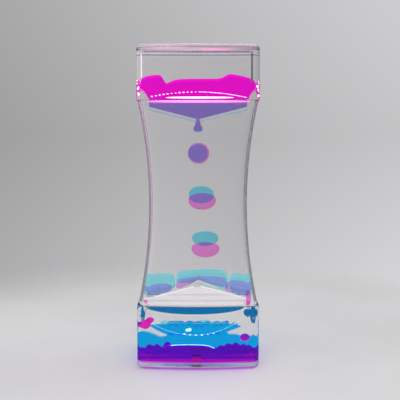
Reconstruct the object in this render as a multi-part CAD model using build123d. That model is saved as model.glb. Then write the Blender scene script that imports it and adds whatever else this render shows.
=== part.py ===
from build123d import *
import os
from math import atan, degrees, sqrt

# Liquid motion timer: a clear waisted tube between two clear cups, two funnel plates,
# and a divider that keeps a pink chamber in front apart from a blue one behind.
# Lengths are in millimetres. The origin is at the middle of the base, +Z points up and -Y is the front.

# Whole body
total_height = 137.6
cup_width = 52.0
cup_depth = 36.0
face_bow = 2.0
cup_corner = 4.0
cup_end_edge = 2.0

# Cups
upper_cup_height = 23.5
lower_cup_height = 26.9
cup_wall = 1.8
end_wall = 2.5
cavity_edge = 0.8

# Waisted tube
tube_step = 0.4
tube_wall = 2.0
waist_draw = 5.35
tube_corner = 3.6

# Divider
divider_thickness = 1.2
groove_depth = 0.6
groove_fit = 0.05

# Funnel plates
rim_height = 7.0
rim_lip = 0.5
rim_side_foot = 3.6
rim_front_foot = 1.2
rim_fit = 0.05
collar_depth = 1.2
collar_fit = 0.35
gutter_side_gap = 2.2
gutter_wall = 0.8
gutter_end_depth = 1.55
gutter_fall = 5.4
gutter_fit = 0.3
slot_width = 1.0
slot_length = 9.0
nozzle_radius = 1.8
nozzle_bore = 0.95
nozzle_length = 0.6
web_cover = 0.8

# Fill plugs
plug_radius = 2.05
plug_head_radius = 3.0
plug_head_thickness = 0.8
plug_fit = 0.02
plug_shift = -0.6

# Liquids
wet_gap = 0.05
drop_clearance = 0.3
pink_fall_range = 7.5
blue_fall_range = 9.6
rise_range = 4.2
pink_pool_depth = 5.2
blue_pool_depth = 11.5
pink_upper_depth = 8.6
blue_upper_drop = 0.4

# Hanging drops
hanging_length = 3.4
hanging_radius = 1.95
hanging_foot_radius = 1.3
hanging_widest_share = 0.68

# Falling drops. Each row: level over the roof's peak as a share of the free fall, then sideways drift,
# width and height as shares of the drop's size, and the share of the height above the widest line
drop_size = 11.6
pink_drop_shares = [
    (0.857, 0.022, 0.767, 0.767, 0.50),
    (0.550, 0.151, 1.000, 0.620, 0.42),
    (0.232, 0.271, 1.026, 0.560, 0.40),
]
blue_drop_shares = [
    (0.857, 0.022, 0.707, 0.707, 0.50),
    (0.573, 0.138, 0.957, 0.586, 0.46),
    (0.277, 0.263, 0.974, 0.552, 0.46),
]

# Puddles on the roof. Each row: middle and length as shares of the gutter's half width,
# and thickness as a share of the deepest puddle's
puddle_thickness = 4.8
puddle_margin = 2.0
puddle_corner = 2.4
puddle_edge = 1.2
pink_puddle_shares = {
    "left": (-0.755, 0.480, 0.62),
    "centre": (0.066, 1.024, 0.60),
    "right": (0.800, 0.400, 0.70),
}
blue_puddle_shares = {
    "left": (-0.740, 0.520, 0.98),
    "centre": (0.087, 1.000, 0.84),
    "right": (0.810, 0.360, 1.00),
}

# Crests of the upper pink pool. Each row: middle and half width as shares of the cup's half width,
# and height over the pool's level as a share of the highest crest's
crest_height = 2.0
upper_crest_shares = [(-0.80, 0.17, 0.85), (0.65, 0.22, 1.0), (0.84, 0.12, 0.45)]

# Bubbles on the lower pools. Each row: place along the pool as a share of its half width,
# place across it as a share of its breadth from the divider, and radius as a share of the largest
bubble_radius = 2.5
bubble_sink_share = 0.45
pink_bubble_shares = [
    (-0.87, 0.30, 0.76), (-0.72, 0.42, 0.96), (-0.56, 0.24, 0.80),
    (0.35, 0.26, 0.84), (0.51, 0.38, 1.00), (0.67, 0.28, 0.92), (0.82, 0.45, 0.80),
]
blue_bubble_shares = [
    (-0.69, 0.34, 0.88), (-0.50, 0.52, 0.96), (-0.31, 0.33, 1.00), (-0.12, 0.50, 0.92),
    (0.08, 0.34, 1.00), (0.27, 0.51, 0.92), (0.45, 0.33, 0.96), (0.64, 0.49, 0.88),
]

# Loose beads in the lower cup. Each row: places along and across as shares of the cup's half width and
# half depth, level as a share of the cup's height, half length and half height as shares of the bead's size
bead_size = 2.3
pink_bead_shares = {
    "left_bead": (-0.893, -0.66, 0.684, 1.00, 0.87),
    "right_bead": (0.834, -0.65, 0.470, 0.91, 0.70),
}
blue_stream_shares = {
    "left_stream": (-0.895, 0.48, 0.70, 0.62, 1.30),
    "right_stream": (0.885, 0.48, 0.68, 0.70, 1.45),
}

# Blue film that clings to the divider under the lower funnel plate, its ends given
# as shares of the cup's half width
film_left_share = 0.915
film_right_share = 0.818
film_height = 3.3
film_end_height = 0.5
film_thickness = 0.9
film_drop = 3.0

overrun = 5.0

# Places worked out from the sizes above
lower_joint = lower_cup_height
upper_joint = total_height - upper_cup_height
tube_height = upper_joint - lower_joint
tube_width = cup_width - 2 * tube_step
waist_width = tube_width - 2 * waist_draw
tube_depth = cup_depth - 2 * tube_step
bore_width = tube_width - 2 * tube_wall
bore_depth = tube_depth - 2 * tube_wall
cavity_width = cup_width - 2 * cup_wall
cavity_depth = cup_depth - 2 * cup_wall
cavity_corner = cup_corner - cup_wall
divider_half = divider_thickness / 2
chamber_middle = (divider_half + bore_depth / 2) / 2
gutter_half_width = bore_width / 2 - gutter_side_gap - gutter_wall
gutter_slope = gutter_fall / gutter_half_width
wall_drop = gutter_wall * sqrt(1 + gutter_slope ** 2)
gutter_low = collar_depth + gutter_end_depth + gutter_fall
envelope_low = gutter_low + wall_drop
nozzle_low = envelope_low + nozzle_length
roof_peak = lower_joint + envelope_low
chamber_breadth = bore_depth / 2 - divider_half
free_fall = upper_joint - nozzle_low - hanging_length - roof_peak
FRONT = -1
REAR = 1
quarter_turn = 90
half_turn = 2 * quarter_turn


def outline(width, depth):
    """Outline of the body from above: straight sides, bowed front and back faces."""
    side = width / 2
    flat = depth / 2 - face_bow
    front = ThreePointArc((-side, -flat), (0, -depth / 2), (side, -flat))
    right = Line((side, -flat), (side, flat))
    back = ThreePointArc((side, flat), (0, depth / 2), (-side, flat))
    left = Line((-side, flat), (-side, -flat))
    return make_face(front + right + back + left)


def plan(width, depth, corner):
    """Outline of the body with rounded corners."""
    face = outline(width, depth)
    return fillet(face.vertices(), corner)


def column(width, depth, corner, low, high):
    """Plan of the given size, raised from one height to another."""
    return Pos(0, 0, low) * extrude(plan(width, depth, corner), high - low)


def through(profile, depth):
    """Front profile, drawn in X and Z, made solid over the whole depth."""
    return extrude(Plane.XZ * profile, depth / 2, both=True)


def slab(width, low, high, near, far):
    """Plain block between two heights and two distances from the middle plane."""
    return Pos(0, (near + far) / 2, (low + high) / 2) * Box(width, abs(far - near), high - low)


def waisted(inset, depth, corner):
    """Body of the waisted tube, drawn in by an inset on both sides, between the two joints."""
    end = tube_width / 2 - inset
    waist = waist_width / 2 - inset
    middle = (lower_joint + upper_joint) / 2
    right = ThreePointArc((end, lower_joint), (waist, middle), (end, upper_joint))
    top = Line((end, upper_joint), (-end, upper_joint))
    left = ThreePointArc((-end, upper_joint), (-waist, middle), (-end, lower_joint))
    bottom = Line((-end, lower_joint), (end, lower_joint))
    side_view = make_face(right + top + left + bottom)
    block = Pos(0, 0, lower_joint) * extrude(outline(tube_width, depth), tube_height)
    block &= through(side_view, depth + overrun)
    if corner == 0:
        return block
    long_edges = block.edges().filter_by(lambda edge: edge.bounding_box().size.Z > tube_height / 2)
    return fillet(long_edges, corner)


def tube():
    """Clear hourglass tube, open at both ends, with a groove for the divider down each side."""
    shell = waisted(0, tube_depth, tube_corner)
    bore = waisted(tube_wall, bore_depth, tube_corner - tube_wall)
    groove = waisted(tube_wall - groove_depth, divider_thickness + 2 * groove_fit + 2 * face_bow, 0)
    band = slab(cup_width, lower_joint, upper_joint, -divider_half - groove_fit, divider_half + groove_fit)
    return shell - bore - (groove & band)


def cup(height):
    """Clear cup with its open rim at zero height and its end wall on top, grooved for the divider."""
    outside = column(cup_width, cup_depth, cup_corner, 0, height)
    outside = fillet(outside.faces().sort_by(Axis.Z)[-1].edges(), cup_end_edge)
    inside = cup_cavity(height)
    groove_top = height - end_wall + groove_depth
    groove_half = divider_half + groove_fit
    groove = slab(cavity_width + 2 * groove_depth, 0, groove_top, -groove_half, groove_half)
    return outside - inside - groove


def cup_cavity(height):
    """Hollow of a cup, with its end edge rounded."""
    hollow = column(cavity_width, cavity_depth, cavity_corner, 0, height - end_wall)
    return fillet(hollow.faces().sort_by(Axis.Z)[-1].edges(), cavity_edge)


def cup_divider(height):
    """Divider plate of a cup, standing on the funnel plate's web and seated in the cup's grooves."""
    width = cavity_width + 2 * groove_depth - 2 * groove_fit
    top = height - end_wall + groove_depth - groove_fit
    wide = slab(width, rim_height + groove_fit, top, -divider_half, divider_half)
    narrow = slab(2 * gutter_half_width, 0, rim_height + groove_fit, -divider_half, divider_half)
    return wide + narrow


def gutter_profile(grow, low_grow):
    """V-shaped gutter seen from the front, hanging below zero height."""
    half = gutter_half_width + grow
    end = -(collar_depth + gutter_end_depth) - low_grow
    corners = [(-half, 0), (half, 0), (half, end), (0, -gutter_low - low_grow), (-half, end)]
    return make_face(Polyline(*corners, close=True))


def plate_envelope():
    """Outer form of a funnel plate: a rim for the cup, a collar for the tube and the hanging gutter."""
    rim = column(cavity_width - 2 * rim_fit, cavity_depth - 2 * rim_fit, cavity_corner, 0, rim_height)
    collar = column(
        bore_width - 2 * collar_fit, bore_depth - 2 * rim_fit, tube_corner - tube_wall, -collar_depth, 0
    )
    gutter = through(gutter_profile(gutter_wall, wall_drop), tube_depth)
    bore = column(
        bore_width - 2 * collar_fit, bore_depth - 2 * gutter_fit, tube_corner - tube_wall, -nozzle_low, 0
    )
    body = rim + collar + (gutter & bore)
    for side in (FRONT, REAR):
        tip = Cylinder(nozzle_radius, nozzle_low - gutter_low + gutter_wall)
        body += Pos(0, side * chamber_middle, -(nozzle_low + gutter_low - gutter_wall) / 2) * tip
    return body


def basin():
    """Hollow inside the rim, widening upwards, with the gutter's hollow and the nozzle bores below it."""
    low_width = cavity_width - 2 * rim_fit - 2 * rim_side_foot
    low_depth = cavity_depth - 2 * rim_fit - 2 * rim_front_foot
    high_width = cavity_width - 2 * rim_fit - 2 * rim_lip
    high_depth = cavity_depth - 2 * rim_fit - 2 * rim_lip
    low_section = plan(low_width, low_depth, cavity_corner)
    high_section = Pos(0, 0, rim_height) * plan(high_width, high_depth, cavity_corner)
    bowl = loft([low_section, high_section], ruled=True)
    hollow_depth = bore_depth - 2 * gutter_fit - 2 * gutter_wall
    gutter = through(gutter_profile(0, 0), tube_depth) & column(
        bore_width, hollow_depth, tube_corner - tube_wall, -nozzle_low, 0
    )
    return bowl + gutter


def nozzle_hole(side):
    """Drip bore through the bottom of the gutter."""
    length = nozzle_low - gutter_low + gutter_wall
    return Pos(0, side * chamber_middle, -nozzle_low + length / 2) * Cylinder(nozzle_bore, length)


def return_openings(side):
    """Openings past both ends of a gutter, through which the clear liquid rises."""
    opening = Box(slot_width, slot_length, collar_depth + rim_height)
    reach = gutter_half_width + gutter_wall + slot_width / 2
    pair = Pos(-reach, 0, 0) * opening + Pos(reach, 0, 0) * opening
    return Pos(0, side * chamber_middle, (rim_height - collar_depth) / 2) * pair


def side_basin(side):
    """Hollow of one side of the funnel plate."""
    half = divider_half + web_cover
    below = basin() & slab(cup_width, -nozzle_low, 0, side * half, side * cup_depth)
    above = basin() & slab(cup_width, 0, rim_height, side * divider_half, side * cup_depth)
    return below + above + nozzle_hole(side) + return_openings(side)


def funnel_plate():
    """Funnel plate with its two gutters, nozzles, return openings and the slot for the cup's divider."""
    body = plate_envelope() - side_basin(FRONT) - side_basin(REAR)
    return body - slab(2 * gutter_half_width + 2 * groove_fit, 0, rim_height, -divider_half, divider_half)


def placed_upper(piece):
    """Puts a piece made at zero height onto the upper joint."""
    return Pos(0, 0, upper_joint) * piece


def placed_lower(piece):
    """Turns a piece made at zero height upside down onto the lower joint."""
    return Pos(0, 0, lower_joint) * Rot(half_turn, 0, 0) * piece


def half_space(side, low, high):
    """Room on one side of the divider."""
    return slab(cup_width, low, high, side * divider_half, side * cup_depth)


def tube_divider():
    """Divider plate of the tube, notched under the upper gutter and over the roof."""
    plate = waisted(tube_wall - groove_depth + groove_fit, divider_thickness + 2 * face_bow, 0)
    plate &= slab(cup_width, lower_joint, upper_joint, -divider_half, divider_half)
    notch = through(gutter_profile(gutter_wall + groove_fit, wall_drop + groove_fit), bore_depth)
    notch += column(
        bore_width + 2 * groove_depth, bore_depth, tube_corner - tube_wall, -collar_depth - groove_fit, 0
    )
    return plate - placed_upper(notch) - placed_lower(notch)


def fill_plug(side):
    """Stepped plug pressed into the base, flush below and headed inside the cup."""
    stem = Pos(0, 0, end_wall / 2) * Cylinder(plug_radius - plug_fit, end_wall)
    head = Pos(0, 0, end_wall + plug_head_thickness / 2) * Cylinder(plug_head_radius, plug_head_thickness)
    return Pos(plug_shift, side * chamber_middle, 0) * (stem + head)


def fill_hole(side):
    """Hole in the base for a fill plug."""
    return Pos(plug_shift, side * chamber_middle, end_wall / 2) * Cylinder(plug_radius, end_wall + overrun)


def drop_solid(width, crown, belly):
    """Falling drop: a flatter crown over a rounder belly, widest at zero height."""
    upper = ellipsoid(width / 2, width / 2, crown) & slab(2 * width, 0, width, -width, width)
    lower = ellipsoid(width / 2, width / 2, belly) & slab(2 * width, -width, 0, -width, width)
    return upper + lower


def drop_sizes(row):
    """Level, drift, width, crown height and belly height of one drop."""
    level_share, drift_share, width_share, height_share, crown_share = row
    level = roof_peak + free_fall * level_share
    height = drop_size * height_share
    crown = height * crown_share
    return level, drop_size * drift_share, drop_size * width_share, crown, height - crown


def drop(side, row):
    """One falling drop at its place in its chamber."""
    level, drift, width, crown, belly = drop_sizes(row)
    return Pos(drift, side * chamber_middle, level) * drop_solid(width, crown, belly)


def drop_shaft(side, row, fall_range):
    """Free way of one drop through the clear liquid, over its whole travel."""
    level, drift, width, crown, belly = drop_sizes(row)
    high = level + crown + rise_range + drop_clearance
    low = level - belly - fall_range - drop_clearance
    shaft = Cylinder(width / 2 + drop_clearance, high - low)
    return Pos(drift, side * chamber_middle, (low + high) / 2) * shaft


def hanging_drop(side):
    """Drop that hangs from a nozzle, still joined to it by its neck."""
    widest = -hanging_length * hanging_widest_share
    neck = Spline((nozzle_bore, 0), (hanging_radius, widest), tangents=[(0, -1), (0, -1)])
    round_width = hanging_radius - hanging_foot_radius
    round_height = hanging_length + widest
    turn = EllipticalCenterArc((hanging_foot_radius, widest), round_width, round_height, -quarter_turn)
    foot = Polyline((nozzle_bore, 0), (0, 0), (0, -hanging_length), (hanging_foot_radius, -hanging_length))
    body = revolve(Plane.XZ * make_face(neck + turn + foot), Axis.Z)
    return Pos(0, side * chamber_middle, upper_joint - nozzle_low) * body


def puddle(side, row):
    """Flat puddle with round ends that lies on one slope of the roof, or over its ridge."""
    middle_share, length_share, thickness_share = row
    middle = gutter_half_width * middle_share
    length = gutter_half_width * length_share
    slope = 0 if abs(middle_share) < length_share / 2 else gutter_slope
    lean = degrees(atan(slope)) * (1 if middle < 0 else -1)
    bar = Rot(0, 0, lean) * RectangleRounded(length, 2 * puddle_thickness * thickness_share, puddle_corner)
    body = extrude(Plane.XZ * bar, chamber_breadth / 2 - puddle_margin, both=True)
    end_edges = body.edges().filter_by(lambda edge: edge.bounding_box().size.Y < puddle_edge)
    body = fillet(end_edges, puddle_edge)
    placed = Pos(middle, side * chamber_middle, roof_peak - slope * abs(middle)) * body
    return placed & middle_room(side)


def middle_room(side):
    """Room of one chamber inside the tube, between the two funnel plates."""
    room = waisted(tube_wall + wet_gap, bore_depth - 2 * wet_gap, tube_corner - tube_wall)
    room &= half_space(side, lower_joint, upper_joint)
    return room - placed_upper(plate_envelope()) - placed_lower(plate_envelope())


def end_room(side, height):
    """Room of one chamber inside a cup and its funnel plate, as made at zero height."""
    above = cup_cavity(height) & half_space(side, rim_height, height)
    return above + side_basin(side)


def upper_room(side):
    """Room of one chamber above the upper funnel plate."""
    return placed_upper(end_room(side, upper_cup_height))


def lower_room(side):
    """Room of one chamber under the roof, round the head of its fill plug."""
    return placed_lower(end_room(-side, lower_cup_height)) - fill_plug(side)


def ellipsoid(half_length, half_breadth, half_height):
    """Rounded blob with three half sizes."""
    return scale(Sphere(1), by=(half_length, half_breadth, half_height))


def pink_upper_shape():
    """Region that the upper pink pool fills, with its raised crests."""
    level = upper_joint + pink_upper_depth
    region = slab(cup_width, upper_joint - nozzle_low, level, -cup_depth, 0)
    half = cavity_width / 2
    for middle_share, width_share, rise_share in upper_crest_shares:
        crest = extrude(Plane.XZ * Ellipse(half * width_share, crest_height * rise_share), cup_depth / 2)
        region += Pos(half * middle_share, 0, level) * crest
    return region


def blue_upper_shape():
    """Region of the gutter that the last of the upper blue liquid fills."""
    return slab(2 * gutter_half_width, upper_joint - nozzle_low, upper_joint - blue_upper_drop, 0, cup_depth)


def lower_pool_shape(side, depth, rows):
    """Region that a lower pool fills, with the bubbles on its surface."""
    level = end_wall + depth
    body = slab(cup_width, 0, level, side * divider_half, side * cup_depth)
    for along_share, across_share, radius_share in rows:
        radius = bubble_radius * radius_share
        along = cavity_width / 2 * along_share
        across = side * (divider_half + chamber_breadth * across_share)
        body += Pos(along, across, level - radius * bubble_sink_share) * Sphere(radius)
    return body


def bead(row):
    """Loose bead or stream of liquid in the lower cup."""
    along_share, across_share, level_share, length_share, height_share = row
    half_length = bead_size * length_share
    along = cavity_width / 2 * along_share
    across = cavity_depth / 2 * across_share
    blob = ellipsoid(half_length, half_length, bead_size * height_share)
    return Pos(along, across, lower_cup_height * level_share) * blob


def film():
    """Film of blue liquid on the divider, straight above and sagging below."""
    film_left = cavity_width / 2 * film_left_share
    film_right = cavity_width / 2 * film_right_share
    left_end = (-film_left, -film_end_height)
    right_end = (film_right, -film_end_height)
    sag = ThreePointArc(left_end, ((film_right - film_left) / 2, -film_height), right_end)
    edge = Polyline(right_end, (film_right, 0), (-film_left, 0), left_end)
    sheet = extrude(Plane.XZ * make_face(sag + edge), -film_thickness)
    return Pos(0, divider_half, lower_joint - film_drop) * sheet


def shells():
    """Clear mouldings and the fill plugs, by name."""
    plate = funnel_plate()
    lower_cup = placed_lower(cup(lower_cup_height)) - fill_hole(FRONT) - fill_hole(REAR)
    return {
        "waist_tube": tube(),
        "upper_cup": placed_upper(cup(upper_cup_height)),
        "lower_cup": lower_cup,
        "upper_funnel_plate": placed_upper(plate),
        "lower_funnel_plate": placed_lower(plate),
        "tube_divider": tube_divider(),
        "upper_divider": placed_upper(cup_divider(upper_cup_height)),
        "lower_divider": placed_lower(cup_divider(lower_cup_height)),
        "front_fill_plug": fill_plug(FRONT),
        "rear_fill_plug": fill_plug(REAR),
    }


def upper_liquids(side, place, colour, shape):
    """Coloured pool over the upper funnel plate and the clear liquid over it."""
    room = upper_room(side)
    return {f"{colour}_upper_pool": room & shape, f"{place}_upper_clear_liquid": room - shape}


def middle_liquids(side, place, colour, drops, puddles, fall_range):
    """Drops and puddles of one chamber, and the clear liquid round them."""
    pieces = {f"{colour}_hanging_drop": hanging_drop(side)}
    clear = middle_room(side) - pieces[f"{colour}_hanging_drop"]
    for number, row in enumerate(drops, start=1):
        pieces[f"{colour}_drop_{number}"] = drop(side, row)
        clear -= drop_shaft(side, row, fall_range)
    for name, row in puddles.items():
        pieces[f"{colour}_{name}_puddle"] = puddle(side, row)
        clear -= pieces[f"{colour}_{name}_puddle"]
    pieces[f"{place}_middle_clear_liquid"] = clear
    return pieces


def lower_liquids(side, place, colour, shape, loose):
    """Coloured pool under the roof, the loose liquid over it and the clear liquid round them."""
    room = lower_room(side)
    pieces = {f"{colour}_lower_pool": room & shape}
    clear = room - shape
    for name, piece in loose.items():
        pieces[f"{colour}_{name}"] = piece & clear
        clear -= piece
    pieces[f"{place}_lower_clear_liquid"] = clear
    return pieces


def liquids():
    """Every body of liquid, by name."""
    pink_beads = {name: bead(row) for name, row in pink_bead_shares.items()}
    blue_loose = {name: bead(row) for name, row in blue_stream_shares.items()}
    blue_loose["divider_film"] = film()
    pink_pool = lower_pool_shape(FRONT, pink_pool_depth, pink_bubble_shares)
    blue_pool = lower_pool_shape(REAR, blue_pool_depth, blue_bubble_shares)
    return {
        **upper_liquids(FRONT, "front", "pink", pink_upper_shape()),
        **upper_liquids(REAR, "rear", "blue", blue_upper_shape()),
        **middle_liquids(FRONT, "front", "pink", pink_drop_shares, pink_puddle_shares, pink_fall_range),
        **middle_liquids(REAR, "rear", "blue", blue_drop_shares, blue_puddle_shares, blue_fall_range),
        **lower_liquids(FRONT, "front", "pink", pink_pool, pink_beads),
        **lower_liquids(REAR, "rear", "blue", blue_pool, blue_loose),
    }


os.makedirs("parts", exist_ok=True)
for name, piece in {**shells(), **liquids()}.items():
    export_step(piece, f"parts/{name}.step")
    print(name, len(piece.solids()), round(piece.volume, 2))
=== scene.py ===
import math

import bmesh
import bpy
import numpy as np
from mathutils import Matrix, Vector


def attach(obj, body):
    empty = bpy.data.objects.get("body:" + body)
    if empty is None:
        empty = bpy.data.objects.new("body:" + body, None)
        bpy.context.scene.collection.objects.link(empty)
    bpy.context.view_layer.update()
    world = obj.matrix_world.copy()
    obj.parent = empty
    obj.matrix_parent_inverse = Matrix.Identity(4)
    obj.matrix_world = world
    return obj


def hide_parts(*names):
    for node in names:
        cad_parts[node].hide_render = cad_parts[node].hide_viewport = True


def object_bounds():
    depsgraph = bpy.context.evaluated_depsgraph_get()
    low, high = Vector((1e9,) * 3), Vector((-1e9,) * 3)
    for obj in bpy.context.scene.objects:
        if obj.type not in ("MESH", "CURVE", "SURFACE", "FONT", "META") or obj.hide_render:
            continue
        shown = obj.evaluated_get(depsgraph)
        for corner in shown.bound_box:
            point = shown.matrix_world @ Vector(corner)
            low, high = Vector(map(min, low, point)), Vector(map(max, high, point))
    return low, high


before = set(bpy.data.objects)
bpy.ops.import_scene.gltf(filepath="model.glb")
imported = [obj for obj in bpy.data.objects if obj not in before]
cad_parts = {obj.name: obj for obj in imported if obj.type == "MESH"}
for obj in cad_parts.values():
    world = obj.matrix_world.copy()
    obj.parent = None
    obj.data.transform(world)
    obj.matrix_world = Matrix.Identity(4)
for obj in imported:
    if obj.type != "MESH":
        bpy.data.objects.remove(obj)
CAD_LOW, CAD_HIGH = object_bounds()

bl_info = {
    "name": "Liquid Motion Timer",
    "version": (1, 0, 0),
    "blender": (4, 5, 0),
    "location": "3D View > Sidebar > Timer",
    "description": "Builds a clear waisted liquid timer with a pink and a blue chamber",
    "category": "Object",
}

MM = 0.001
TIMER = "timer"
FRONT, REAR = -1, 1
SIDES = {"pink": FRONT, "blue": REAR}
WHITE = (1, 1, 1, 1)


def length(label, description, default):
    """A length in metres for a settings group."""
    return bpy.props.FloatProperty(
        name=label, description=description, default=default, min=0.0, precision=5, unit="LENGTH",
        subtype="DISTANCE",
    )


def colour(label, description, default):
    """A linear colour for a settings group."""
    return bpy.props.FloatVectorProperty(
        name=label, description=description, default=default, min=0.0, max=1.0, size=3, subtype="COLOR"
    )


class TimerSizes(bpy.types.PropertyGroup):
    """Sizes of the clear mouldings."""

    cup_width: length("Cup width", "Outer width of both cups", CAD_HIGH.x - CAD_LOW.x)
    cup_depth: length("Cup depth", "Outer depth of both cups at their middle", 0.036)
    face_bow: length("Face bow", "How far the front and back faces bulge", 0.002)
    cup_corner: length("Cup corner", "Radius of the cups' upright corners", 0.0028)
    cup_edge: length("Cup end edge", "Radius round the closed end of a cup", 0.002)
    cup_wall: length("Cup wall", "Thickness of a cup's side walls", 0.0012)
    end_wall: length("End wall", "Thickness of a cup's closed end", 0.0025)
    cavity_edge: length("Cavity edge", "Radius round the end of a cup's hollow", 0.0008)
    tube_width: length("Tube width", "Width of the tube at the joints", 0.0512)
    tube_depth: length("Tube depth", "Depth of the tube at its middle", 0.0358)
    tube_wall: length("Tube wall", "Thickness of the tube's walls", 0.002)
    tube_corner: length("Tube corner", "Radius of the tube's long corners", 0.0036)
    waist_width: length("Waist width", "Width of the tube at its narrowest", 0.0415)
    lower_joint: length("Lower joint", "Height of the joint of lower cup and tube", 0.0269)
    upper_joint: length("Upper joint", "Height of the joint of tube and upper cup", 0.1141)
    total_height: length("Total height", "Height over all", CAD_HIGH.z - CAD_LOW.z)


class LiquidColours(bpy.types.PropertyGroup):
    """Colours of the liquids and plastics, as the share of light that they let through."""

    plastic: colour("Clear plastic", "Tint of the clear mouldings", (0.968, 0.962, 0.97))
    # Base band and top band colour painted glows that stand in for the liquids refracted in the cups' end
    # edges.
    base_band: colour("Base band", "Colour caught in the edge of the base", (0.40, 0.28, 0.56))
    top_band: colour("Top band", "Colour caught in the edge of the top", (0.50, 0.24, 0.40))
    pink_pool: colour("Pink pool", "Tint of the upper pink pool", (0.90, 0.001, 0.70))
    pink_deep: colour("Deep pink", "Tint of the lower pink pool", (0.48, 0.0, 0.74))
    # The pink foot colours a glowing slab whose glow is painted light standing in for light coming up through
    # the base.
    pink_foot: colour("Pink foot", "Tint of the foot of the lower pink pool", (0.36, 0.0, 0.62))
    pink_drop: colour("Pink drop", "Tint of the pink drops", (0.98, 0.335, 0.88))
    pink_puddle: colour("Pink puddle", "Tint of the pink puddles", (0.96, 0.50, 0.96))
    pink_bead: colour("Pink bead", "Tint of the loose pink beads", (0.90, 0.03, 0.62))
    blue_pool: colour("Blue pool", "Tint of the lower blue pool", (0.0, 0.50, 1.0))
    blue_drop: colour("Blue drop", "Tint of the blue drops", (0.26, 0.84, 0.93))
    blue_puddle: colour("Blue puddle", "Tint of the blue puddles", (0.34, 0.95, 1.0))
    blue_film: colour("Blue film", "Tint of the film on the divider and of the streams", (0.002, 0.25, 0.62))
    plug: colour("Plug", "Colour of the front fill plug", (0.62, 0.004, 0.20))
    glint: colour("Glint", "Colour of the bright joint lines", (1.0, 0.86, 0.97))
    # The lilac line is a painted glow that stands in for the pink pool seen from below through the upper
    # joint.
    lilac: colour("Lilac line", "Colour of the line under the upper joint", (0.84, 0.27, 0.76))
    # This tint colours painted highlights: the line along the roof plate's rim, the top line of the deep pink
    # pool and a glint.
    foam: colour("Foam", "Colour of the small bubbles", (0.55, 0.88, 0.97))
    floor: colour("Floor", "Colour of the floor", (0.80, 0.795, 0.80))
    wall: colour("Wall", "Colour of the pale wall behind", (0.46, 0.455, 0.465))


def sizes():
    """The sizes that the panel shows."""
    return bpy.context.scene.timer_sizes


def colours():
    """The colours that the panel shows."""
    return bpy.context.scene.timer_colours


# Outlines and sections

FACE_STEPS, CORNER_STEPS, SIDE_STEPS = 28, 12, 10
SLAB_CORNER_STEPS, SLAB_SIDE_STEPS = 6, 8
# A corner stays a little under half of the side that it rounds.
CORNER_SHARE = 0.499


def spread(start, end, count):
    """Evenly spaced values, the end left out."""
    return [start + (end - start) * i / count for i in range(count)]


def arc(centre_x, centre_y, radius, start, end, steps):
    """Points of an arc, the last one left out."""
    angles = spread(start, end, steps)
    return [(centre_x + radius * math.cos(a), centre_y + radius * math.sin(a)) for a in angles]


def plan_ring(half_width, half_depth, corner, bow_radius, z):
    """Outline of the body from above, anticlockwise, with bowed faces and round corners."""
    centre_y = -half_depth + bow_radius
    corner_x = half_width - corner
    corner_y = centre_y - math.sqrt((bow_radius - corner) ** 2 - corner_x**2)
    sweep = math.asin(corner_x / (bow_radius - corner))
    ring = [
        (bow_radius * math.sin(a), centre_y - bow_radius * math.cos(a))
        for a in spread(-sweep, sweep, FACE_STEPS)
    ]
    ring += arc(corner_x, corner_y, corner, sweep - math.pi / 2, 0, CORNER_STEPS)
    ring += [(half_width, y) for y in spread(corner_y, -corner_y, SIDE_STEPS)]
    ring += arc(corner_x, -corner_y, corner, 0, math.pi / 2 - sweep, CORNER_STEPS)
    # The back and left are the front and right turned half round.
    ring += [(-x, -y) for x, y in ring]
    return [(x, y, z) for x, y in ring]


def box_ring(x, near, far, low, high, corner):
    """Rounded rectangle across the body at a place along X."""
    corner = min(corner, CORNER_SHARE * (far - near), CORNER_SHARE * (high - low))
    near, far, low, high = near + corner, far - corner, low + corner, high - corner
    ring = []
    for y, z, turn in ((far, high, 0.0), (near, high, 0.5), (near, low, 1.0), (far, low, 1.5)):
        start, end = turn * math.pi, (turn + 0.5) * math.pi
        for a in (*spread(start, end, SLAB_CORNER_STEPS), end):
            ring.append((x, y + corner * math.cos(a), z + corner * math.sin(a)))
        if turn == 0.0:
            ring += [(x, place, high + corner) for place in spread(far, near, SLAB_SIDE_STEPS)[1:]]
        if turn == 1.0:
            ring += [(x, place, low - corner) for place in spread(near, far, SLAB_SIDE_STEPS)[1:]]
    return ring


def arc_radius(half_chord, rise):
    """Radius of an arc from its half chord and its rise."""
    return (half_chord**2 + rise**2) / (2 * rise)


def tube_half_width(z):
    """Half width of the tube's outside at a height."""
    s = sizes()
    middle = (s.lower_joint + s.upper_joint) / 2
    half_height = (s.upper_joint - s.lower_joint) / 2
    rise = (s.tube_width - s.waist_width) / 2
    radius = arc_radius(half_height, rise)
    return s.waist_width / 2 + radius - math.sqrt(radius**2 - (z - middle) ** 2)


def front_limit(x, z):
    """Distance of the inner front face of tube or cup from the middle plane, all in millimetres."""
    s = sizes()
    if s.lower_joint <= z * MM <= s.upper_joint:
        half_width, limit = s.tube_width / 2, s.tube_depth / 2 - s.tube_wall
    else:
        half_width, limit = s.cup_width / 2 - s.cup_wall, s.cup_depth / 2 - s.cup_wall
    radius = arc_radius(half_width, s.face_bow)
    return (limit - (radius - math.sqrt(radius**2 - (x * MM) ** 2))) / MM


def curve(points, rounds=3):
    """Function of x through a table of (x, height) points, made smooth by cutting the corners."""
    line = [np.array(p, float) for p in points]
    for _ in range(rounds):
        cut = [line[0]]
        for a, b in zip(line, line[1:]):
            cut += [a * 0.75 + b * 0.25, a * 0.25 + b * 0.75]
        line = cut + [line[-1]]
    places, heights = [p[0] for p in line], [p[1] for p in line]
    return lambda x: float(np.interp(x, places, heights))


def bumps(rows):
    """Extra height of round bumps across a pool, each (middle, radius, share of a circle's height)."""
    return lambda x: max([0.0] + [math.sqrt(max(0.0, r * r - (x - c) ** 2)) * h for c, r, h in rows])


# Meshes

SHARP_ANGLE = math.radians(40)
MERGE_DISTANCE, LEAST_EDGE = 2e-7, 1e-8


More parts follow.
